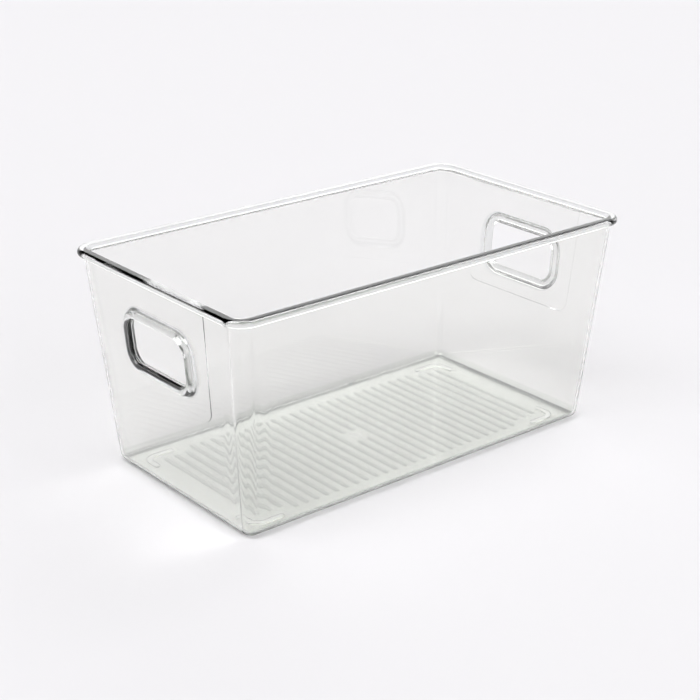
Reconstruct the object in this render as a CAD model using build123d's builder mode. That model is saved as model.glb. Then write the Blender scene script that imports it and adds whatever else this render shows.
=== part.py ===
"""Clear open-topped storage bin with a hand hole in each end wall, made as one moulding.

The moulding is modelled as its named regions, which meet face to face. Millimetres, +Z up, +X along the
long side. The origin is on the ground under the middle of the bin, which stands on its four corner feet.
"""
from build123d import *
import math
import os

# ---- overall sizes ----
RIM_LENGTH = 320.0
RIM_WIDTH = 181.6
OVERALL_HEIGHT = 148.5
WALL = 2.0  # measured level
DRAFT = 5.35  # degrees that every wall leans out

# ---- rim bead ----
RIM_HEIGHT = 5.2
RIM_OVERHANG = 4.0  # beyond the outer face of the walls
RIM_CORNER = 15.0
RIM_OUTER_ROUND = 2.5
RIM_INNER_ROUND = 0.5

# ---- floor ----
FOOT_HEIGHT = 1.2
FLOOR = 2.0
BASE_CORNER = 7.0
EDGE_ROUND = 6.0  # outer round between the floor and the walls

# ---- hand holes and the collars round them ----
HOLE_WIDTH = 60.0
HOLE_HEIGHT = 30.0
HOLE_ROUND = 9.0
HOLE_CENTRE = 102.5  # above the ground
COLLAR_LEDGE = 0.5  # the standing collar steps back this far from the hole
COLLAR_BAND = 6.0  # from the hole to the outside of the standing collar
COLLAR_FOOT_BAND = 8.5  # the same, with the blend at its root
COLLAR_PROUD = 4.0  # beyond the slide panel
COLLAR_ROUND = 2.6
COLLAR_ROOT_ROUND = 2.4
COLLAR_INNER_ROUND = 1.9

# ---- slide panels, the faintly raised tongues that carry the hand holes ----
PANEL_PROUD = 0.3
PANEL_BOTTOM = 70.0  # above the ground
PANEL_TOP_WIDTH = 106.0
PANEL_BOTTOM_WIDTH = 98.8
PANEL_ROUND = 9.0

# ---- ribs, gate pad and feet under the floor ----
RIB_PITCH = 8.2
RIB_PAIRS = 15
RIB_WIDTH = 5.0
RIB_HEIGHT = 0.12
RIB_ROUND = 0.1
RIB_LENGTH = 115.0
SHORT_RIB_LENGTH = 103.0
SHORT_RIB_PAIRS = 3  # at each end, this many ribs stop short of the feet
GATE_RADIUS = 5.0
GATE_HEIGHT = 0.2
GATE_GAP = 2.0  # clear of the ribs
NIB_RADIUS = 1.2
NIB_HEIGHT = 0.1
FOOT_LENGTH = 261.0  # over the outer faces of the feet
FOOT_WIDTH = 124.0
FOOT_BAND = 4.0
FOOT_CORNER = 9.0
FOOT_LONG_LEG = 23.5
FOOT_SHORT_LEG = 18.0
FOOT_ROUND = 0.4
FOOT_END_ROUND = 1.92  # of the legs' ends, seen from below

# ---- worked out from those ----
LEAN = math.tan(math.radians(DRAFT))
WALL_TOP = OVERALL_HEIGHT - RIM_HEIGHT
WALL_THICKNESS = WALL * math.cos(math.radians(DRAFT))
TOP_CORNER = RIM_CORNER - RIM_OVERHANG
PAN_TOP = FOOT_HEIGHT + EDGE_ROUND
CAVITY_BOTTOM = FOOT_HEIGHT + FLOOR
CORNERS = (("front_left", -1, -1), ("front_right", 1, -1), ("back_left", -1, 1), ("back_right", 1, 1))


def wall_length(height):
    """Length over the outer faces of the end walls at this height."""
    return RIM_LENGTH - 2 * RIM_OVERHANG - 2 * LEAN * (WALL_TOP - height)


def wall_width(height):
    """Width over the outer faces of the long walls at this height."""
    return wall_length(height) - RIM_LENGTH + RIM_WIDTH


def wall_corner(height):
    """Outer radius of the vertical corners at this height."""
    rise = (height - FOOT_HEIGHT) / (WALL_TOP - FOOT_HEIGHT)
    return BASE_CORNER + rise * (TOP_CORNER - BASE_CORNER)


SEAM_LEAN = LEAN - (TOP_CORNER - BASE_CORNER) / (WALL_TOP - FOOT_HEIGHT)


def end_seam(side):
    """Plane along the lines where the flat long walls turn into the corners, facing outwards."""
    reach = wall_length(FOOT_HEIGHT) / 2 - BASE_CORNER
    return Plane(origin=(side * reach, 0, FOOT_HEIGHT), x_dir=(0, 1, 0), z_dir=(side, 0, -SEAM_LEAN))


def side_seam(side):
    """Plane along the lines where the flat end walls turn into the corners, facing outwards."""
    reach = wall_width(FOOT_HEIGHT) / 2 - BASE_CORNER
    return Plane(origin=(0, side * reach, FOOT_HEIGHT), x_dir=(1, 0, 0), z_dir=(0, side, -SEAM_LEAN))


def keep(part, name):
    """Label a finished piece and write its file."""
    part.label = name
    export_step(part, f"parts/{name}.step")


os.makedirs("parts", exist_ok=True)

# ---- the bare shell, cut into its regions further down ----
with BuildPart() as cavity:
    for height in (CAVITY_BOTTOM, WALL_TOP):
        with BuildSketch(Plane.XY.offset(height)):
            RectangleRounded(wall_length(height) - 2 * WALL, wall_width(height) - 2 * WALL,
                             wall_corner(height) - WALL)
    loft()
    fillet(cavity.faces().sort_by(Axis.Z)[0].edges(), radius=EDGE_ROUND - FLOOR)

with BuildPart() as shell:
    for height in (FOOT_HEIGHT, WALL_TOP):
        with BuildSketch(Plane.XY.offset(height)):
            RectangleRounded(wall_length(height), wall_width(height), wall_corner(height))
    loft()
    fillet(shell.faces().sort_by(Axis.Z)[0].edges(), radius=EDGE_ROUND)
    add(cavity.part, mode=Mode.SUBTRACT)

with BuildPart() as walls:
    add(shell.part)
    split(bisect_by=Plane.XY.offset(PAN_TOP), keep=Keep.TOP)

# ---- floor with its turned-up rounded edge ----
with BuildPart() as floor_pan:
    add(shell.part)
    split(bisect_by=Plane.XY.offset(PAN_TOP), keep=Keep.BOTTOM)
keep(floor_pan.part, "floor_pan")

# ---- long walls ----
for name, side in (("front_wall", -1), ("back_wall", 1)):
    with BuildPart() as long_wall:
        add(walls.part)
        split(bisect_by=side_seam(side), keep=Keep.TOP)
        split(bisect_by=end_seam(-1), keep=Keep.BOTTOM)
        split(bisect_by=end_seam(1), keep=Keep.BOTTOM)
    keep(long_wall.part, name)

# ---- vertical corners ----
for name, end, side in CORNERS:
    with BuildPart() as corner:
        add(walls.part)
        split(bisect_by=end_seam(end), keep=Keep.TOP)
        split(bisect_by=side_seam(side), keep=Keep.TOP)
    keep(corner.part, name + "_corner")

# ---- end walls, each with its slide panel and the opening that the collar fills ----
end_face = Plane(origin=(wall_length(WALL_TOP) / 2, 0, WALL_TOP), x_dir=(0, 1, 0), z_dir=(1, 0, -LEAN))
slope = 1 / math.cos(math.radians(DRAFT))
hole_drop = (WALL_TOP - HOLE_CENTRE) * slope
panel_drop = (WALL_TOP - PANEL_BOTTOM) * slope


def hole_outline(band=0.0):
    """Sizes for a rounded rectangle that lies this far outside the hand hole."""
    return HOLE_WIDTH + 2 * band, HOLE_HEIGHT + 2 * band, HOLE_ROUND + band


with BuildPart() as right_end_wall:
    add(walls.part)
    split(bisect_by=end_seam(1), keep=Keep.TOP)
    split(bisect_by=side_seam(-1), keep=Keep.BOTTOM)
    split(bisect_by=side_seam(1), keep=Keep.BOTTOM)
    with BuildSketch(end_face) as panel:
        with BuildLine():
            Polyline((-PANEL_TOP_WIDTH / 2, WALL), (-PANEL_BOTTOM_WIDTH / 2, -panel_drop),
                     (PANEL_BOTTOM_WIDTH / 2, -panel_drop), (PANEL_TOP_WIDTH / 2, WALL), close=True)
        make_face()
        fillet(panel.vertices().group_by(Axis.Y)[0], radius=PANEL_ROUND)
    extrude(amount=PANEL_PROUD)
    split(bisect_by=Plane.XY.offset(WALL_TOP), keep=Keep.BOTTOM)
    with BuildSketch(end_face):
        with Locations((0, -hole_drop)):
            RectangleRounded(*hole_outline(COLLAR_FOOT_BAND))
    extrude(amount=2 * WALL, both=True, mode=Mode.SUBTRACT)
keep(right_end_wall.part, "right_end_wall")

with BuildPart() as left_end_wall:
    mirror(right_end_wall.part, about=Plane.YZ)
keep(left_end_wall.part, "left_end_wall")

# ---- rounded collars of the hand holes ----
with BuildPart() as right_grip_collar:
    with BuildSketch(end_face.offset(-WALL_THICKNESS)):
        with Locations((0, -hole_drop)):
            RectangleRounded(*hole_outline(COLLAR_FOOT_BAND))
            RectangleRounded(*hole_outline(), mode=Mode.SUBTRACT)
    extrude(amount=WALL_THICKNESS + PANEL_PROUD)
    with BuildSketch(end_face.offset(PANEL_PROUD)):
        with Locations((0, -hole_drop)):
            RectangleRounded(*hole_outline(COLLAR_BAND))
            RectangleRounded(*hole_outline(COLLAR_LEDGE), mode=Mode.SUBTRACT)
    extrude(amount=COLLAR_PROUD)
    outwards = Axis((0, 0, 0), end_face.z_dir)
    foot_face = right_grip_collar.faces().filter_by(outwards).sort_by(outwards)[1:3].sort_by(SortBy.AREA)[1]
    fillet(foot_face.inner_wires()[0].edges(), radius=COLLAR_ROOT_ROUND)
    tip_face = right_grip_collar.faces().filter_by(outwards).sort_by(outwards)[-1]
    fillet(tip_face.edges(), radius=COLLAR_ROUND)
    inner_face = right_grip_collar.faces().filter_by(outwards).sort_by(outwards)[0]
    fillet(inner_face.inner_wires()[0].edges(), radius=COLLAR_INNER_ROUND)
keep(right_grip_collar.part, "right_grip_collar")

with BuildPart() as left_grip_collar:
    mirror(right_grip_collar.part, about=Plane.YZ)
keep(left_grip_collar.part, "left_grip_collar")

# ---- rim bead, flush with the inside of the walls ----
rim_band = RIM_OVERHANG + WALL
with BuildPart() as rim_bead:
    with BuildSketch(Plane.XY.offset(WALL_TOP)):
        RectangleRounded(RIM_LENGTH, RIM_WIDTH, RIM_CORNER)
        RectangleRounded(RIM_LENGTH - 2 * rim_band, RIM_WIDTH - 2 * rim_band, RIM_CORNER - rim_band,
                         mode=Mode.SUBTRACT)
    extrude(amount=RIM_HEIGHT)
    top_face = rim_bead.faces().sort_by(Axis.Z)[-1]
    bottom_face = rim_bead.faces().sort_by(Axis.Z)[0]
    fillet(top_face.outer_wire().edges() + bottom_face.outer_wire().edges(), radius=RIM_OUTER_ROUND)
    top_face = rim_bead.faces().sort_by(Axis.Z)[-1]
    fillet(top_face.inner_wires()[0].edges(), radius=RIM_INNER_ROUND)
keep(rim_bead.part, "rim_bead")

# ---- soft parallel ribs under the floor ----
with BuildPart() as floor_ribs:
    with BuildSketch(Plane.XY.offset(FOOT_HEIGHT)):
        for index in range(RIB_PAIRS):
            short = index >= RIB_PAIRS - SHORT_RIB_PAIRS
            place = (index + 0.5) * RIB_PITCH
            with Locations((-place, 0), (place, 0)):
                SlotOverall(SHORT_RIB_LENGTH if short else RIB_LENGTH, RIB_WIDTH, rotation=90)
        Circle(GATE_RADIUS + GATE_GAP, mode=Mode.SUBTRACT)
    extrude(amount=-RIB_HEIGHT)
    fillet(floor_ribs.faces().group_by(Axis.Z)[0].edges(), radius=RIB_ROUND)
keep(floor_ribs.part, "floor_ribs")

# ---- gate pad in the middle of the underside ----
with BuildPart() as gate_mark:
    with BuildSketch(Plane.XY.offset(FOOT_HEIGHT)):
        Circle(GATE_RADIUS)
    extrude(amount=-GATE_HEIGHT)
    fillet(gate_mark.faces().sort_by(Axis.Z)[0].edges(), radius=GATE_HEIGHT / 2)
    with BuildSketch(Plane.XY.offset(FOOT_HEIGHT - GATE_HEIGHT)):
        Circle(NIB_RADIUS)
    extrude(amount=-NIB_HEIGHT)
keep(gate_mark.part, "gate_mark")

# ---- corner feet, each an L-shaped ridge ----
for name, end, side in CORNERS:
    with BuildPart() as foot:
        with BuildSketch() as plan:
            RectangleRounded(FOOT_LENGTH, FOOT_WIDTH, FOOT_CORNER)
            RectangleRounded(FOOT_LENGTH - 2 * FOOT_BAND, FOOT_WIDTH - 2 * FOOT_BAND,
                             FOOT_CORNER - FOOT_BAND, mode=Mode.SUBTRACT)
            with Locations((end * FOOT_LENGTH / 2, side * FOOT_WIDTH / 2)):
                Rectangle(2 * FOOT_LONG_LEG, 2 * FOOT_SHORT_LEG, mode=Mode.INTERSECT)
            leg_ends = (plan.vertices().group_by(Axis.X)[0 if end > 0 else -1]
                        + plan.vertices().group_by(Axis.Y)[0 if side > 0 else -1])
            fillet(leg_ends, radius=FOOT_END_ROUND)
        extrude(amount=FOOT_HEIGHT)
        fillet(foot.faces().sort_by(Axis.Z)[0].edges(), radius=FOOT_ROUND)
    keep(foot.part, name + "_foot")
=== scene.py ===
"""Looks of the clear storage bin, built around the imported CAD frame.

Every region of the moulding gets a finished mesh of its own. The meshes share one set of vertices and
normals, and the faces where two regions meet are see-through, so light passes from one region to the next
as it does in a real one-piece moulding. Lengths are in millimetres until a mesh is written, in metres.

The script goes from sizes and tints to outlines, then to the faces of each region, the meshes, the
materials, and last the studio with its floor, light and camera.
"""
import bpy
import math
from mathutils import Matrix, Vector
from mathutils.geometry import delaunay_2d_cdt


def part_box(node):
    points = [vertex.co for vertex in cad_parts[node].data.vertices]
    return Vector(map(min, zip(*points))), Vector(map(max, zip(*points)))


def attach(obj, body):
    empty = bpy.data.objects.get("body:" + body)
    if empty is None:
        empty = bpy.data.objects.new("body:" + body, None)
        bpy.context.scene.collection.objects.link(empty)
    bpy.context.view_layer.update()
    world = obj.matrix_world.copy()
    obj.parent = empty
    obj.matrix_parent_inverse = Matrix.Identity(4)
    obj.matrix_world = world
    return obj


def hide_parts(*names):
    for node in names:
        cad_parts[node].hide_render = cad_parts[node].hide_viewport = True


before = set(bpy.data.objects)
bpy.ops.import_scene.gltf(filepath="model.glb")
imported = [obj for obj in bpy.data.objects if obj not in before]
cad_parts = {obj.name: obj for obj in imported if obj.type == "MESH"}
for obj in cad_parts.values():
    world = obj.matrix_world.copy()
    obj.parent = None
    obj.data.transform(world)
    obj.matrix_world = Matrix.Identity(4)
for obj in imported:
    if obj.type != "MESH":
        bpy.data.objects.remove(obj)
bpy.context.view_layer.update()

MM = 0.001
BODY = "root"


def node_box(name):
    """Lowest and highest corner of a CAD node, in millimetres."""
    low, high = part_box(name)
    return low / MM, high / MM


# ---- sizes read from the frame ----
rim_low, rim_high = node_box("rim_bead")
pan_low, pan_high = node_box("floor_pan")
collar_low, collar_high = node_box("right_grip_collar")
foot_low, foot_high = node_box("back_right_foot")
gate_low, gate_high = node_box("gate_mark")
rib_low, rib_high = node_box("floor_ribs")

# ---- walls, floor and rim ----
WALL = 2.0  # measured level
FLOOR = 2.0
BASE_CORNER = 7.0  # outer radius of the vertical corners at the underside
EDGE_ROUND = 6.0  # outer round between the floor and the walls
RIM_OVERHANG = 4.0
RIM_CORNER = 15.0
RIM_OUTER_ROUND = 2.5
RIM_INNER_ROUND = 0.5

# ---- hand holes, their collars and the raised panels round them ----
HOLE_WIDTH = 60.0
HOLE_HEIGHT = 30.0
HOLE_ROUND = 9.0
COLLAR_LEDGE = 0.5  # the standing collar steps back this far from the hole
COLLAR_BAND = 6.0  # from the hole to the outside of the standing collar
COLLAR_FOOT_BAND = 8.5  # the same, with the blend at its root
COLLAR_PROUD = 4.0  # beyond the panel
COLLAR_TAPER = 0.3
COLLAR_ROUND = 2.6
COLLAR_ROOT_ROUND = 2.4
COLLAR_INNER_ROUND = 1.9
COLLAR_LIP_ROUND = 0.3
PANEL_PROUD = 0.3
PANEL_BEVEL = 0.2
PANEL_BOTTOM = 70.0  # above the ground
PANEL_TOP_WIDTH = 106.0
PANEL_BOTTOM_WIDTH = 98.8
PANEL_ROUND = 9.0
PANEL_TOP_GAP = 0.5  # left between the panel and the rim

# ---- ribs, gate pad and feet under the floor ----
RIB_PITCH = 8.2
RIB_PAIRS = 15
RIB_WIDTH = 5.0
RIB_LENGTH = 115.0
SHORT_RIB_LENGTH = 103.0
SHORT_RIB_PAIRS = 3  # at each end, this many ribs stop short of the feet
RIB_CREST = 0.015  # share of the width that stays flat along the middle of a rib
GATE_GAP = 2.0  # between the gate pad and the ribs that it cuts
NIB_RADIUS = 1.2
NIB_HEIGHT = 0.1
FOOT_BAND = 4.0
FOOT_CORNER = 9.0
FOOT_ROUND = 0.4
FEET = {"front_left": (-1, -1), "front_right": (1, -1), "back_left": (-1, 1), "back_right": (1, 1)}

# ---- ripple of the inner faces beside the vertical corners ----
RIPPLE_DEPTH = 0.08
RIPPLE_LENGTH = 12.0  # from crest to crest along the wall
RIPPLE_REACH = 24.0  # it has died away this far from the middle of a corner
RIPPLE_FULL = 0.3  # share of that reach over which it keeps its full depth
RIPPLE_FADE = 10.0  # it grows over this height at the floor, and dies away over it at the rim
RIPPLE_SWAY = 0.5  # the crests sway to and fro by this much of their wave, in radians
RIPPLE_SWAY_HEIGHT = 17.0  # one radian of that sway takes this height

# ---- fineness of the meshes ----
CORNER_STEPS = 20  # round a quarter turn seen from above
ROUND_STEPS = 8  # round a quarter turn of an edge
RIB_STEPS = 10  # from the side of a rib to its middle
RIPPLE_STEP = 1.5  # along a wall
LEVEL_STEP = 2.0  # up a wall, near the floor and the rim
LEVELS_NEAR_EDGE = 6
LEVELS_BETWEEN = 14

# ---- plastic ----
REFRACTIVE_INDEX = 1.57
WALL_TINT = (0.964, 0.966, 0.952)
# painted shade: the floor is a darker copy of the wall plastic
FLOOR_SHADE_TINT = (0.872, 0.89, 0.858)
# darker than the walls: partly the real absorption along long paths in the thick collars, partly painted
# shade to darken the hand holes
COLLAR_TINT = (0.87, 0.88, 0.87)
RIM_TINT = (0.90, 0.91, 0.90)
RIB_SHADE_TINT = (0.48, 0.50, 0.48)  # painted shade, darkest along the middle of a rib
RIB_FULL_SHADE_FROM = 0.33  # that full painted shade starts here, where 0 is midway between two ribs and 0.5 the middle of one
EDGE_SHADE_TINT = (0.30, 0.31, 0.30)  # painted shade low on the outer edge of the floor, standing for the shadow along the bottom edge
EDGE_SHADE_FROM = math.radians(45)  # where that starts, as a turn from the wall towards the underside
CLOUD_SCALE = 40.0
CLOUD_DEPTH = 0.985  # a tint is multiplied by this in the densest cloud

# ---- studio ----
SOFT_BOXES = (  # azimuth from +X, elevation and radius in degrees, and strength
    (47, 22, 23, 1.45),  # pale backdrop behind the bin
    (188, 57, 17, 7.3),  # high on the left
    (275, 31, 22, 4.35),  # beside the camera, on its right
    (2, 54, 11.5, 5.0),  # high on the right
    (0, -90, 92, 1.4),  # pale light from low down all round
)
SOFT_EDGE = 0.35  # share of its radius over which a soft box fades, inwards and outwards
FLOOR_REACH = 12.0  # metres
FLOOR_GAP = 0.15  # the feet stand on the floor without wetting it
FLOOR_COLOUR = (0.80, 0.79, 0.81)
CAMERA_PLACE = (-0.6413, -0.7800, 0.4728)  # metres
CAMERA_TARGET = (0, 0, 0.0828)  # metres
CAMERA_LENS = 83.9
CAMERA_SHIFT = (-0.0073, -0.0361)
CAMERA_CLIP = 50.0  # metres
LIGHT_BOUNCES = 12  # a low limit, which darkens long paths inside thick edges
SEE_THROUGH_BOUNCES = 64

# ---- worked out from those ----
WALL_TOP = rim_low.z
PAN_TOP = pan_high.z
UNDERSIDE = pan_low.z
TOP_CORNER = RIM_CORNER - RIM_OVERHANG
LEAN = (rim_high.x - RIM_OVERHANG - pan_high.x) / (WALL_TOP - PAN_TOP)
DRAFT = math.atan(LEAN)
WALL_THICKNESS = WALL * math.cos(DRAFT)  # measured square to the wall
HOLE_CENTRE = (collar_low.z + collar_high.z - (WALL_THICKNESS - PANEL_PROUD) * math.sin(DRAFT)) / 2
BEYOND = [RIPPLE_STEP * (i + 1) for i in range(round(RIPPLE_REACH / RIPPLE_STEP))]  # along a wall


def half_sizes(height):
    """Half length and half width over the outer faces of the walls."""
    drop = LEAN * (WALL_TOP - height)
    return rim_high.x - RIM_OVERHANG - drop, rim_high.y - RIM_OVERHANG - drop


def corner_radius(height):
    """Outer radius of the vertical corners."""
    return BASE_CORNER + (TOP_CORNER - BASE_CORNER) * (height - UNDERSIDE) / (WALL_TOP - UNDERSIDE)


# ---- outlines ----
def arc(centre, radius, start, turn, steps):
    """Points on an arc, angles in degrees."""
    angles = [math.radians(start + turn * i / steps) for i in range(steps + 1)]
    return [(centre[0] + radius * math.cos(a), centre[1] + radius * math.sin(a)) for a in angles]


def rounded_rectangle(half_x, half_y, radius):
    """Outline as a list of points, anticlockwise, starting where the right side meets the far corner."""
    points = []
    for quarter, (sx, sy) in enumerate(((1, 1), (-1, 1), (-1, -1), (1, -1))):
        centre = (sx * (half_x - radius), sy * (half_y - radius))
        points += arc(centre, radius, 90 * quarter, 90, CORNER_STEPS)
    return points


def wall_ring(height, inset):
    """Outline of the walls at this height, this far inside their outer face."""
    half_x, half_y = half_sizes(height)
    outline = rounded_rectangle(half_x - inset, half_y - inset, corner_radius(height) - inset)
    return [(x, y, height) for x, y in outline]


# ---- the skin: faces of every region, with shared corners ----
CURVED, FLAT, SEAM, EDGE = 0, 1, 2, 3  # SEAM lies between two regions, and EDGE is curved and carries painted shade
corners, corner_index, faces = [], {}, []


def corner(point):
    key = tuple(round(c, 5) for c in point)
    if key not in corner_index:
        corner_index[key] = len(corners)
        corners.append(Vector(point))
    return corner_index[key]


def face(piece, points, kind):
    """Adds a face to a piece. Points run anticlockwise, seen from outside the plastic."""
    loop = []
    for point in points:
        index = corner(point)
        if index not in loop:
            loop.append(index)
    if len(loop) > 2:
        faces.append((piece, loop, kind))


def band(piece, ring_a, ring_b, kind, closed=True):
    """Quads between two outlines of the same length."""
    count = len(ring_a)
    for i in range(count if closed else count - 1):
        j = (i + 1) % count
        face(piece, (ring_a[i], ring_a[j], ring_b[j], ring_b[i]), kind)


def sheet_with_holes(piece, outline, holes, place, kind, flip=False, hole_kind=None):
    """A flat face with holes in it, cut into triangles. Faces of hole_kind, if given, fill the holes."""
    loops = [outline] + list(holes)
    points, edges, loop_faces = [], [], []
    for loop in loops:
        start = len(points)
        points += [Vector(p) for p in loop]
        count = len(loop)
        edges += [(start + i, start + (i + 1) % count) for i in range(count)]
        loop_faces.append([start + i for i in range(count)])
    _, _, triangles, origins, _, inside = delaunay_2d_cdt(points, edges, loop_faces, 1, 1e-6)
    flat = [p for loop in loops for p in loop]
    for triangle, owners in zip(triangles, inside):
        in_hole = any(owner > 0 for owner in owners)
        if in_hole and hole_kind is None:
            continue
        shape = [place(*flat[origins[v][0]]) for v in triangle]
        face(piece, shape[::-1] if flip else shape, hole_kind if in_hole else kind)


# ---- floor pan: its turned-up edge, the flat floor and the underside ----
def edge_rings(radius, inset):
    """Outlines from the top of the pan down round its edge, for the face this far inside the outer one."""
    steps = 2 * ROUND_STEPS
    centre_height = UNDERSIDE + EDGE_ROUND
    wall_end = centre_height - radius * math.sin(DRAFT)
    centre_x = half_sizes(wall_end)[0] - inset - radius * math.cos(DRAFT)
    rings = [wall_ring(PAN_TOP, inset)]
    for i in range(steps + 1):
        angle = DRAFT + (math.pi / 2 - DRAFT) * i / steps
        height = centre_height - radius * math.sin(angle)
        x = centre_x + radius * math.cos(angle)
        rings.append(wall_ring(height, half_sizes(height)[0] - x))
    return rings


def capsule(centre_x, low_y, high_y, radius, steps=12):
    """Outline of a slot along Y, anticlockwise."""
    outline = arc((centre_x, high_y - radius), radius, 0, 180, steps)
    return outline + arc((centre_x, low_y + radius), radius, 180, 180, steps)


def rib_slots():
    """(x, lowest y, highest y) of every rib under the floor."""
    slots = []
    gate_reach = gate_high.x + GATE_GAP
    for index in range(RIB_PAIRS):
        short = index >= RIB_PAIRS - SHORT_RIB_PAIRS
        reach = (SHORT_RIB_LENGTH if short else RIB_LENGTH) / 2
        x = (index + 0.5) * RIB_PITCH
        for side in (-1, 1):
            if x < gate_reach - RIB_WIDTH / 2:
                slots += [(side * x, -reach, -gate_reach), (side * x, gate_reach, reach)]
            else:
                slots.append((side * x, -reach, reach))
    return slots


def foot_outline(end, side, radius, steps=10):
    """Outline of an L-shaped foot: everything within this distance of its centre line, anticlockwise."""
    mid = FOOT_BAND / 2
    turn = FOOT_CORNER - mid
    reach_x, reach_y = foot_high.x - mid, foot_high.y - mid
    end_x, end_y = foot_low.x + mid, foot_low.y + mid
    centre = (reach_x - turn, reach_y - turn)
    outline = arc((reach_x, end_y), radius, 180, 180, steps)
    outline += arc(centre, turn + radius, 0, 90, steps)
    outline += arc((end_x, reach_y), radius, 90, 180, steps)
    outline += arc(centre, turn - radius, 90, -90, steps)
    placed = [(end * x, side * y) for x, y in outline]
    return placed if end * side > 0 else placed[::-1]


def circle(radius, steps=48):
    return arc((0, 0), radius, 0, 360, steps)[:-1]


def lift(outline, height):
    return [(x, y, height) for x, y in outline]


def build_floor_pan():
    outer = edge_rings(EDGE_ROUND, 0)
    inner = edge_rings(EDGE_ROUND - FLOOR, WALL)
    # below this height the outer edge gets the painted shade
    edge_shade_top = UNDERSIDE + EDGE_ROUND * (1 - math.sin(EDGE_SHADE_FROM))
    for upper, lower in zip(outer, outer[1:]):
        band("floor_pan", lower, upper, EDGE if upper[0][2] < edge_shade_top else CURVED)
    for upper, lower in zip(inner, inner[1:]):
        band("floor_pan", upper, lower, CURVED)
    band("floor_pan", outer[0], inner[0], SEAM)
    face("floor_pan", inner[-1], FLAT)
    footprints = [capsule(x, low, high, RIB_WIDTH / 2) for x, low, high in rib_slots()]
    footprints += [foot_outline(end, side, FOOT_BAND / 2) for end, side in FEET.values()]
    footprints.append(circle(gate_high.x))
    sheet_with_holes("floor_pan", [p[:2] for p in outer[-1]], footprints,
                     lambda x, y: (x, y, UNDERSIDE), FLAT, flip=True, hole_kind=SEAM)


def build_ribs():
    """Each rib swells smoothly out of the underside and back."""
    height = rib_high.z - rib_low.z
    for x, low, high in rib_slots():
        rings = []
        for i in range(RIB_STEPS + 1):
            inwards = RIB_WIDTH / 2 * min(i / RIB_STEPS, 1 - RIB_CREST)
            depth = height * (0.5 - 0.5 * math.cos(math.pi * i / RIB_STEPS))
            rings.append(lift(capsule(x, low + inwards, high - inwards, RIB_WIDTH / 2 - inwards),
                              UNDERSIDE - depth))
        for outside, inside in zip(rings, rings[1:]):
            band("floor_ribs", inside, outside, CURVED)
        face("floor_ribs", rings[-1][::-1], CURVED)
        face("floor_ribs", rings[0], SEAM)


def build_feet():
    for name, (end, side) in FEET.items():
        piece = name + "_foot"
        rings = [lift(foot_outline(end, side, FOOT_BAND / 2), UNDERSIDE)]
        for i in range(ROUND_STEPS + 1):
            angle = math.pi / 2 * i / ROUND_STEPS
            inwards = FOOT_ROUND * (1 - math.cos(angle))
            height = FOOT_ROUND * (1 - math.sin(angle))
            rings.append(lift(foot_outline(end, side, FOOT_BAND / 2 - inwards), height))
        for upper, lower in zip(rings, rings[1:]):
            band(piece, lower, upper, CURVED)
        face(piece, rings[-1][::-1], FLAT)
        face(piece, rings[0], SEAM)


def build_gate():
    depth = UNDERSIDE - gate_low.z - NIB_HEIGHT
    rings = [lift(circle(gate_high.x), UNDERSIDE)]
    for i in range(ROUND_STEPS + 1):
        angle = math.pi / 2 * i / ROUND_STEPS
        rings.append(lift(circle(gate_high.x - depth * (1 - math.cos(angle))),
                          UNDERSIDE - depth * math.sin(angle)))
    rings.append(lift(circle(NIB_RADIUS), UNDERSIDE - depth))
    for i in range(1, ROUND_STEPS + 1):
        angle = math.pi / 2 * i / ROUND_STEPS
        rings.append(lift(circle(NIB_RADIUS - NIB_HEIGHT * (1 - math.cos(angle))),
                          UNDERSIDE - depth - NIB_HEIGHT * math.sin(angle)))
    for index, (upper, lower) in enumerate(zip(rings, rings[1:])):
        band("gate_mark", lower, upper, FLAT if index == ROUND_STEPS + 1 else CURVED)
    face("gate_mark", rings[-1][::-1], FLAT)
    face("gate_mark", rings[0], SEAM)


# ---- walls and vertical corners ----
CORNER_NAMES = ("back_right", "back_left", "front_left", "front_right")  # in the order of the outline


def smooth_step(low, high, value):
    t = min(max((value - low) / (high - low), 0.0), 1.0)
    return t * t * (3 - 2 * t)


def ripple(distance, height):
    """How much thicker the wall is, this far along it from the middle of a vertical corner."""
    fade = smooth_step(PAN_TOP, PAN_TOP + RIPPLE_FADE, height)
    fade *= 1 - smooth_step(WALL_TOP - RIPPLE_FADE, WALL_TOP, height)
    fade *= 1 - smooth_step(RIPPLE_REACH * RIPPLE_FULL, RIPPLE_REACH, distance)
    sway = RIPPLE_SWAY * math.sin(height / RIPPLE_SWAY_HEIGHT)
    return RIPPLE_DEPTH * fade * math.cos(2 * math.pi * distance / RIPPLE_LENGTH + sway)


def wall_levels():
    """Heights of the mesh rows up a wall, closer together near the floor and the rim."""
    low = [PAN_TOP + LEVEL_STEP * i for i in range(LEVELS_NEAR_EDGE)]
    high = [WALL_TOP - LEVEL_STEP * i for i in range(LEVELS_NEAR_EDGE)][::-1]
    rise = (high[0] - low[-1]) / LEVELS_BETWEEN
    return low + [low[-1] + rise * i for i in range(1, LEVELS_BETWEEN)] + high


def inner_column(quarter, step, height):
    """A point on the inner face, in or beside a vertical corner.

    Steps from 0 to CORNER_STEPS go round the corner. Lower and higher ones run off along the flat walls
    before and after it.
    """
    sx, sy = ((1, 1), (-1, 1), (-1, -1), (1, -1))[quarter]
    half_x, half_y = half_sizes(height)
    radius = corner_radius(height)
    turned = min(max(step, 0), CORNER_STEPS)
    past = abs(step - turned)
    along = BEYOND[past - 1] if past else 0.0
    distance = abs(turned / CORNER_STEPS - 0.5) * radius * math.pi / 2 + along
    angle = math.radians(90 * quarter + 90 * turned / CORNER_STEPS)
    reach = radius - WALL - ripple(distance, height)
    x = sx * (half_x - radius) + reach * math.cos(angle)
    y = sy * (half_y - radius) + reach * math.sin(angle)
    sideways = along if step > CORNER_STEPS else -along
    return x - sideways * math.sin(angle), y + sideways * math.cos(angle), height


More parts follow.
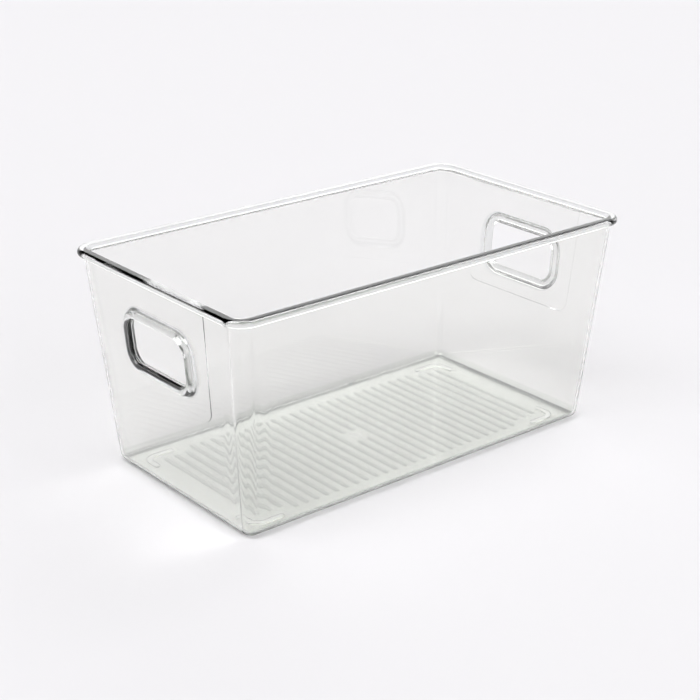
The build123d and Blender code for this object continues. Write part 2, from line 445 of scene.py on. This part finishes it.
def inner_strip(piece, quarter, first, last):
    """The rippled inner face between two of those steps."""
    levels = wall_levels()
    steps = range(first, last + 1)
    columns = [[inner_column(quarter, step, height) for height in levels] for step in steps]
    for left, right in zip(columns, columns[1:]):
        for i in range(len(levels) - 1):
            face(piece, (left[i + 1], right[i + 1], right[i], left[i]), CURVED)


def build_corners():
    """Each vertical corner, between the lines where the flat walls begin."""
    levels = wall_levels()
    low_ring, high_ring = wall_ring(PAN_TOP, 0), wall_ring(WALL_TOP, 0)
    for quarter, name in enumerate(CORNER_NAMES):
        piece = name + "_corner"
        pick = slice(quarter * (CORNER_STEPS + 1), (quarter + 1) * (CORNER_STEPS + 1))
        out_low, out_high = low_ring[pick], high_ring[pick]
        steps = range(CORNER_STEPS + 1)
        in_low = [inner_column(quarter, step, PAN_TOP) for step in steps]
        in_high = [inner_column(quarter, step, WALL_TOP) for step in steps]
        band(piece, out_low, out_high, CURVED, closed=False)
        inner_strip(piece, quarter, 0, CORNER_STEPS)
        band(piece, out_high, in_high, SEAM, closed=False)
        band(piece, in_low, out_low, SEAM, closed=False)
        before = [inner_column(quarter, 0, height) for height in levels]
        after = [inner_column(quarter, CORNER_STEPS, height) for height in levels]
        face(piece, [out_low[0], out_high[0]] + before[::-1], SEAM)
        face(piece, [out_high[-1], out_low[-1]] + after, SEAM)


def side_corners(quarter_a, quarter_b):
    """The four corners of the flat outer face that runs from one vertical corner to the next."""
    low, high = wall_ring(PAN_TOP, 0), wall_ring(WALL_TOP, 0)
    a = quarter_a * (CORNER_STEPS + 1) + CORNER_STEPS
    b = quarter_b * (CORNER_STEPS + 1)
    return low[a], low[b], high[b], high[a]


def wall_lining(piece, quarter_a, quarter_b):
    """Rippled strips of the inner face, and the faces where a flat wall meets its neighbours.

    Returns the outline of the flat inner face left between the strips, anticlockwise seen from outside.
    """
    levels = wall_levels()
    low_a, low_b, high_b, high_a = side_corners(quarter_a, quarter_b)
    reach = len(BEYOND)
    inner_strip(piece, quarter_a, CORNER_STEPS, CORNER_STEPS + reach)
    inner_strip(piece, quarter_b, -reach, 0)

    def columns_at(height):
        start = [inner_column(quarter_a, CORNER_STEPS + i, height) for i in range(reach + 1)]
        return start + [inner_column(quarter_b, -i, height) for i in range(reach, -1, -1)]

    low_edge, high_edge = columns_at(PAN_TOP), columns_at(WALL_TOP)
    side_a = [inner_column(quarter_a, CORNER_STEPS, height) for height in levels]
    side_b = [inner_column(quarter_b, 0, height) for height in levels]
    face(piece, [low_b, low_a] + low_edge, SEAM)
    face(piece, [high_a, high_b] + high_edge[::-1], SEAM)
    face(piece, [low_a, high_a] + side_a[::-1], SEAM)
    face(piece, [high_b, low_b] + side_b, SEAM)
    flat_a = [inner_column(quarter_a, CORNER_STEPS + reach, height) for height in levels]
    flat_b = [inner_column(quarter_b, -reach, height) for height in levels]
    return flat_b + flat_a[::-1]


def build_long_walls():
    for piece, side, quarters in (("back_wall", 1, (0, 1)), ("front_wall", -1, (2, 3))):
        face(piece, side_corners(*quarters), FLAT)
        outline = [(x, z) for x, _, z in wall_lining(piece, *quarters)]

        def inner_face(x, height):
            return x, side * (half_sizes(height)[1] - WALL), height

        sheet_with_holes(piece, outline if side < 0 else outline[::-1], [], inner_face, FLAT, flip=side < 0)


def end_point(end, y, height, out):
    """A point on the outer face of an end wall, moved outwards along the face's normal."""
    x = half_sizes(height)[0] + out * math.cos(DRAFT)
    return (end * x, y, height - out * math.sin(DRAFT))


def hole_ring(end, outside, out):
    """Outline round the hand hole, this far outside its edge and this far out from the wall."""
    outline = rounded_rectangle(HOLE_WIDTH / 2 + outside, HOLE_HEIGHT / 2 + outside, HOLE_ROUND + outside)
    return [end_point(end, y, HOLE_CENTRE + s * math.cos(DRAFT), out) for y, s in outline]


def panel_outline(inset):
    """(y, height) outline of the slide panel, anticlockwise seen from outside the right end."""
    top = WALL_TOP - PANEL_TOP_GAP - inset
    bottom = PANEL_BOTTOM + inset
    flare = (PANEL_TOP_WIDTH - PANEL_BOTTOM_WIDTH) / 2 / (WALL_TOP - PANEL_BOTTOM)
    radius = PANEL_ROUND - inset
    centre_y = PANEL_BOTTOM_WIDTH / 2 - PANEL_ROUND
    top_y = PANEL_BOTTOM_WIDTH / 2 + flare * (top - PANEL_BOTTOM) - inset
    right = arc((centre_y, bottom + radius), radius, -90, 90, CORNER_STEPS)
    left = arc((-centre_y, bottom + radius), radius, 180, 90, CORNER_STEPS)
    return [(top_y, top), (-top_y, top)] + left + right


def build_end_wall(end, name):
    def outer_face(out):
        return lambda y, height: end_point(end, y, height, out)

    def inner_face(y, height):
        return (end * (half_sizes(height)[0] - WALL), y, height)

    flip = end < 0
    quarters = (3, 0) if end > 0 else (1, 2)
    boundary = [(y, z) for _, y, z in side_corners(*quarters)]
    boundary = boundary if end > 0 else boundary[::-1]
    sheet_with_holes(name, boundary, [panel_outline(0)], outer_face(0), FLAT, flip)
    steps = [[end_point(end, y, height, out) for y, height in panel_outline(inset)]
             for inset, out in ((0, 0), (PANEL_BEVEL, PANEL_PROUD))]
    if end > 0:
        band(name, steps[0], steps[1], CURVED)
    else:
        band(name, steps[1], steps[0], CURVED)
    foot = rounded_rectangle(HOLE_WIDTH / 2 + COLLAR_FOOT_BAND, HOLE_HEIGHT / 2 + COLLAR_FOOT_BAND,
                             HOLE_ROUND + COLLAR_FOOT_BAND)
    foot_face = [(y, HOLE_CENTRE + s * math.cos(DRAFT)) for y, s in foot]
    sheet_with_holes(name, panel_outline(PANEL_BEVEL), [foot_face], outer_face(PANEL_PROUD), FLAT, flip)
    outside = hole_ring(end, COLLAR_FOOT_BAND, PANEL_PROUD)
    inside = hole_ring(end, COLLAR_FOOT_BAND, -WALL_THICKNESS)
    if end > 0:
        band(name, outside, inside, SEAM)
    else:
        band(name, inside, outside, SEAM)
    lining = [(y, z) for _, y, z in wall_lining(name, *quarters)]
    lining = lining if end > 0 else lining[::-1]
    sheet_with_holes(name, lining, [[(y, z) for _, y, z in inside]], inner_face, FLAT, not flip)


def round_off(section, centre, radius, start, turn, last_kind=CURVED):
    """Adds an arc to a section. Each of its points holds the kind of the face that leaves it."""
    points = arc(centre, radius, start, turn, ROUND_STEPS)
    section.extend((a, b, CURVED) for a, b in points[:-1])
    section.append((*points[-1], last_kind))


def carry_round(piece, section, ring, flip=False):
    """Carries a closed section round a ring, which is a function of the section's two measures."""
    rings = [ring(outside, out) for outside, out, _ in section]
    for i, (_, _, kind) in enumerate(section):
        here, ahead = rings[i], rings[(i + 1) % len(rings)]
        if flip:
            here, ahead = ahead, here
        band(piece, ahead, here, kind)


def build_collar(end, name):
    """The rounded collar of a hand hole: its section is carried round the hole."""
    tip = PANEL_PROUD + COLLAR_PROUD
    back = -WALL_THICKNESS
    inner, lip, crest, root = COLLAR_INNER_ROUND, COLLAR_LIP_ROUND, COLLAR_ROUND, COLLAR_ROOT_ROUND
    section = [(COLLAR_FOOT_BAND, back, FLAT)]
    round_off(section, (inner, back + inner), inner, 270, -90)
    round_off(section, (lip, PANEL_PROUD - lip), lip, 180, -90, FLAT)
    round_off(section, (COLLAR_LEDGE - lip, PANEL_PROUD + lip), lip, 270, 90)
    round_off(section, (COLLAR_LEDGE + COLLAR_TAPER + crest, tip - crest), crest, 180, -90)
    round_off(section, (COLLAR_BAND - crest, tip - crest), crest, 90, -90)
    round_off(section, (COLLAR_BAND + root, PANEL_PROUD + root), root, 180, 90, FLAT)
    section.append((COLLAR_FOOT_BAND, PANEL_PROUD, SEAM))
    carry_round(name, section, lambda outside, out: hole_ring(end, outside, out), flip=end < 0)


def build_rim():
    """The rim bead: its section is carried round the mouth."""
    depth = rim_high.z - rim_low.z
    width = RIM_OVERHANG + WALL

    def ring(outside, height):
        outline = rounded_rectangle(rim_high.x - width + outside, rim_high.y - width + outside,
                                    RIM_CORNER - width + outside)
        return [(x, y, WALL_TOP + height) for x, y in outline]

    inner, outer = RIM_INNER_ROUND, RIM_OUTER_ROUND
    section = [(0.0, 0.0, CURVED)]
    round_off(section, (inner, depth - inner), inner, 180, -90, FLAT)
    round_off(section, (width - outer, depth - outer), outer, 90, -90)
    round_off(section, (width - outer, outer), outer, 0, -90, FLAT)
    section.append((WALL, 0.0, SEAM))
    carry_round("rim_bead", section, ring)


# ---- meshes ----
SMOOTH_LIMIT = math.cos(math.radians(50))  # faces that turn more than this meet in a sharp edge


def newell(points):
    """Face normal, not unit: its length is twice the area."""
    normal = Vector((0, 0, 0))
    for a, b in zip(points, points[1:] + points[:1]):
        normal += a.cross(b)
    return normal


def corner_angle(points, i):
    a, b, c = points[i - 1], points[i], points[(i + 1) % len(points)]
    return (a - b).angle(c - b, 0.0)


def skin_normals():
    """A normal for each corner of each face. Curved faces run smoothly into flat ones and each other."""
    raw = [newell([corners[v] for v in loop]) for _, loop, _ in faces]
    unit = [n.normalized() for n in raw]
    around = [[] for _ in corners]
    for f, (_, loop, kind) in enumerate(faces):
        if kind != SEAM:
            points = [corners[v] for v in loop]
            for i, v in enumerate(loop):
                around[v].append((f, kind, corner_angle(points, i)))
    normals = []
    for f, (_, loop, kind) in enumerate(faces):
        if kind in (FLAT, SEAM):
            normals.append([unit[f]] * len(loop))
            continue
        own = []
        for v in loop:
            near = [(g, k, w) for g, k, w in around[v] if unit[f].dot(unit[g]) > SMOOTH_LIMIT]
            flats = [raw[g] for g, k, _ in near if k == FLAT]
            if flats:
                own.append(max(flats, key=lambda n: n.length).normalized())
            else:
                own.append(sum((raw[g] * w for g, _, w in near), Vector((0, 0, 0))).normalized())
        normals.append(own)
    return normals


def write_piece(name, normals, plastic):
    """One closed mesh that stands for the CAD node of the same name."""
    used, index, loops, kinds, loop_normals = [], {}, [], [], []
    for (piece, loop, kind), own in zip(faces, normals):
        if piece != name:
            continue
        for v in loop:
            if v not in index:
                index[v] = len(used)
                used.append(corners[v] * MM)
        loops.append([index[v] for v in loop])
        kinds.append(kind)
        loop_normals += own
    mesh = bpy.data.meshes.new(name)
    mesh.from_pydata(used, [], loops)
    # the third material paints shade low on the outer edge of the floor
    surfaces = [plastic, seam_clear] + ([edge_shade_plastic] if EDGE in kinds else [])
    for surface in surfaces:
        mesh.materials.append(surface)
    for polygon, kind in zip(mesh.polygons, kinds):
        polygon.material_index = {SEAM: 1, EDGE: 2}.get(kind, 0)
        polygon.use_smooth = True
    mesh.normals_split_custom_set(loop_normals)
    piece = bpy.data.objects.new(name + "_clear", mesh)
    bpy.context.scene.collection.objects.link(piece)
    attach(piece, BODY)
    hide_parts(name)
    return piece


# ---- materials ----
def glassy(name):
    """Smooth transparent styrene, with no tint yet. Returns it with its nodes, links and shader."""
    material = bpy.data.materials.new(name)
    material.use_nodes = True
    nodes, links = material.node_tree.nodes, material.node_tree.links
    principled = nodes["Principled BSDF"]
    principled.inputs["Transmission Weight"].default_value = 1.0
    principled.inputs["IOR"].default_value = REFRACTIVE_INDEX
    principled.inputs["Roughness"].default_value = 0.0
    return material, nodes, links, principled


def node_maths(nodes, links, operation, value, other):
    """One maths node: the operation on a linked value and a number."""
    maths = nodes.new("ShaderNodeMath")
    maths.operation = operation
    maths.inputs[1].default_value = other
    links.new(value, maths.inputs[0])
    return maths.outputs[0]


def tint_between(nodes, links, share, tint, other_tint):
    """Colour that goes from one tint to another as the share goes from 0 to 1."""
    mix = nodes.new("ShaderNodeMix")
    mix.data_type = "RGBA"
    links.new(share, mix.inputs["Factor"])
    for socket, colour in zip([s for s in mix.inputs if s.type == "RGBA"], (tint, other_tint)):
        socket.default_value = (*colour, 1)
    return [s for s in mix.outputs if s.type == "RGBA"][0]


def clear_plastic(name, tint):
    """Styrene with a faint cloudiness in its grey-green tint."""
    material, nodes, links, principled = glassy(name)
    cloud = nodes.new("ShaderNodeTexNoise")
    cloud.inputs["Scale"].default_value = CLOUD_SCALE
    links.new(nodes.new("ShaderNodeTexCoord").outputs["Object"], cloud.inputs["Vector"])
    cloudy = tuple(channel * CLOUD_DEPTH for channel in tint)
    mixed = tint_between(nodes, links, cloud.outputs["Fac"], tint, cloudy)
    links.new(mixed, principled.inputs["Base Color"])
    return material


def rib_shade_plastic(name):
    """Styrene of the ribs, with shade painted into its tint, darkest along their middles."""
    material, nodes, links, principled = glassy(name)
    split = nodes.new("ShaderNodeSeparateXYZ")
    links.new(nodes.new("ShaderNodeTexCoord").outputs["Object"], split.inputs["Vector"])
    turns = node_maths(nodes, links, "DIVIDE", split.outputs["X"], RIB_PITCH * MM)
    across = node_maths(nodes, links, "PINGPONG", turns, 0.5)  # 0.5 along the middle of a rib
    shade = nodes.new("ShaderNodeMapRange")
    shade.interpolation_type = "SMOOTHSTEP"
    shade.inputs["From Min"].default_value = 0.5 - RIB_WIDTH / 2 / RIB_PITCH
    shade.inputs["From Max"].default_value = RIB_FULL_SHADE_FROM
    links.new(across, shade.inputs["Value"])
    tint = tint_between(nodes, links, shade.outputs["Result"], FLOOR_SHADE_TINT, RIB_SHADE_TINT)
    links.new(tint, principled.inputs["Base Color"])
    return material


def see_through():
    """For the faces where one region of the moulding runs into the next."""
    material = bpy.data.materials.new("inside_of_moulding")
    material.use_nodes = True
    material.node_tree.nodes["Principled BSDF"].inputs["Alpha"].default_value = 0.0
    return material


# ---- pieces ----
build_floor_pan()
build_long_walls()
build_end_wall(1, "right_end_wall")
build_end_wall(-1, "left_end_wall")
build_corners()
build_rim()
build_collar(1, "right_grip_collar")
build_collar(-1, "left_grip_collar")
build_ribs()
build_gate()
build_feet()

plastic = clear_plastic("clear_styrene", WALL_TINT)
# painted shade: a darker copy of the wall plastic for the floor
shaded_floor_plastic = clear_plastic("clear_styrene_floor_shaded", FLOOR_SHADE_TINT)
# painted shade along the middles of the ribs
shaded_ribs = rib_shade_plastic("clear_styrene_ribs_shaded")
# partly real absorption, partly painted shade on the hand holes
collar_plastic = clear_plastic("clear_styrene_collars", COLLAR_TINT)
rim_plastic = clear_plastic("clear_styrene_rim", RIM_TINT)
# painted shade for the low outer edge of the floor
edge_shade_plastic = clear_plastic("clear_styrene_edge_shade", EDGE_SHADE_TINT)
seam_clear = see_through()
PLASTICS = {"floor_ribs": shaded_ribs, "floor_pan": shaded_floor_plastic, "rim_bead": rim_plastic,
            "left_grip_collar": collar_plastic, "right_grip_collar": collar_plastic}
normals = skin_normals()
for name in sorted({piece for piece, _, _ in faces}):
    write_piece(name, normals, PLASTICS.get(name, plastic))


# ---- floor ----
def studio_floor():
    signs = ((-1, -1), (1, -1), (1, 1), (-1, 1))
    places = [(FLOOR_REACH * x, FLOOR_REACH * y, -FLOOR_GAP * MM) for x, y in signs]
    mesh = bpy.data.meshes.new("studio_floor")
    mesh.from_pydata(places, [], [(0, 1, 2, 3)])
    material = bpy.data.materials.new("pale_floor")
    material.use_nodes = True
    principled = material.node_tree.nodes["Principled BSDF"]
    principled.inputs["Base Color"].default_value = (*FLOOR_COLOUR, 1)
    principled.inputs["Roughness"].default_value = 1.0
    principled.inputs["Specular IOR Level"].default_value = 0.0
    mesh.materials.append(material)
    floor = bpy.data.objects.new("studio_floor", mesh)
    bpy.context.scene.collection.objects.link(floor)


# ---- light ----
def soft_box(nodes, links, direction, azimuth, elevation, radius, strength):
    """Brightness of one soft-edged round light, far away in the direction given by the two angles."""
    axis = Vector((math.cos(elevation) * math.cos(azimuth), math.cos(elevation) * math.sin(azimuth),
                   math.sin(elevation)))
    along = nodes.new("ShaderNodeVectorMath")
    along.operation = "DOT_PRODUCT"
    along.inputs[1].default_value = axis
    links.new(direction, along.inputs[0])
    angle = nodes.new("ShaderNodeMath")
    angle.operation = "ARCCOSINE"
    links.new(along.outputs["Value"], angle.inputs[0])
    fade = nodes.new("ShaderNodeMapRange")
    fade.interpolation_type = "SMOOTHSTEP"
    fade.inputs["From Min"].default_value = radius * (1 - SOFT_EDGE)
    fade.inputs["From Max"].default_value = radius * (1 + SOFT_EDGE)
    fade.inputs["To Min"].default_value = strength
    fade.inputs["To Max"].default_value = 0.0
    links.new(angle.outputs[0], fade.inputs["Value"])
    return fade.outputs["Result"]


def studio_light():
    world = bpy.data.worlds.new("studio")
    bpy.context.scene.world = world
    world.use_nodes = True
    nodes, links = world.node_tree.nodes, world.node_tree.links
    background = nodes["Background"]
    background.inputs["Color"].default_value = (1, 1, 1, 1)
    direction = nodes.new("ShaderNodeTexCoord").outputs["Generated"]
    total = None
    for azimuth, elevation, radius, strength in SOFT_BOXES:
        light = soft_box(nodes, links, direction, math.radians(azimuth), math.radians(elevation),
                         math.radians(radius), strength)
        if total is not None:
            add = nodes.new("ShaderNodeMath")
            links.new(total, add.inputs[0])
            links.new(light, add.inputs[1])
            light = add.outputs[0]
        total = light
    links.new(total, background.inputs["Strength"])


# ---- camera ----
def studio_camera():
    camera = bpy.data.cameras.new("camera")
    camera.lens = CAMERA_LENS
    camera.shift_x, camera.shift_y = CAMERA_SHIFT
    camera.clip_end = CAMERA_CLIP
    holder = bpy.data.objects.new("camera", camera)
    holder.location = CAMERA_PLACE
    holder.rotation_euler = (Vector(CAMERA_TARGET) - holder.location).to_track_quat("-Z", "Y").to_euler()
    bpy.context.scene.collection.objects.link(holder)
    bpy.context.scene.camera = holder


studio_floor()
studio_light()
studio_camera()

scene = bpy.context.scene
scene.view_settings.view_transform = "Standard"
scene.cycles.max_bounces = LIGHT_BOUNCES
scene.cycles.transmission_bounces = LIGHT_BOUNCES
scene.cycles.glossy_bounces = LIGHT_BOUNCES
scene.cycles.transparent_max_bounces = SEE_THROUGH_BOUNCES
scene.cycles.caustics_refractive = True
scene.cycles.caustics_reflective = True
scene.cycles.blur_glossy = 0.0
